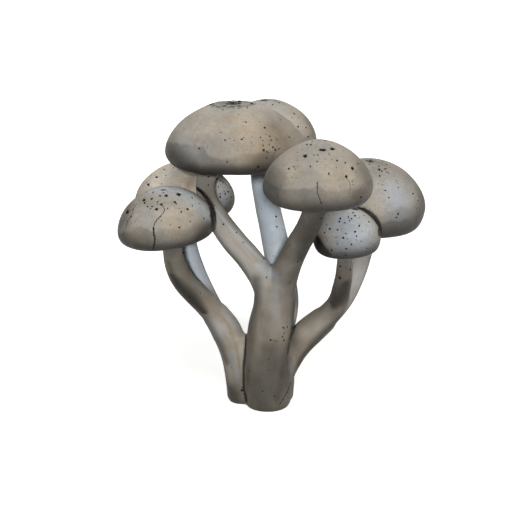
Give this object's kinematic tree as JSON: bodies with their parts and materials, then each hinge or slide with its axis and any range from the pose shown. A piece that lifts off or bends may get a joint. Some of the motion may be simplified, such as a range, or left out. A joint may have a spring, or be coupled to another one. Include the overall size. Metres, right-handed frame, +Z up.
{
  "type": "ghost fungus",
  "caption": "Cluster of domed, gilled mushroom caps on forked stems that share one lobed foot, cut flat to stand on a surface.",
  "frame": {"origin": "middle of the flat cut under the foot", "axes": "+Z up the stems; -Y is the side with the front cap; +X is to the right when seen from there"},
  "size_m": [0.1756, 0.1778, 0.1766],
  "materials": {
    "cap_skin": "smooth, faintly damp cap skin, warm beige-grey with dark peppering, darker towards the margin",
    "stem_skin": "dull fibrous stem skin, grey-brown with bluish-white and ochre stretches",
    "gill_flesh": "matt cream gills, close and thin"
  },
  "bodies": {
    "root": {"cap_top": "cap_skin", "cap_front": "cap_skin", "cap_back": "cap_skin", "cap_left": "cap_skin", "cap_left_back": "cap_skin", "cap_button": "cap_skin", "cap_right": "cap_skin", "foot": "stem_skin", "stalk_centre": "stem_skin", "stalk_left": "stem_skin", "stalk_right": "stem_skin", "stem_top": "stem_skin", "stem_front": "stem_skin", "stem_back": "stem_skin", "stem_left": "stem_skin", "stem_left_back": "stem_skin", "stem_button": "stem_skin", "stem_right": "stem_skin"}
  },
  "joints": []
}
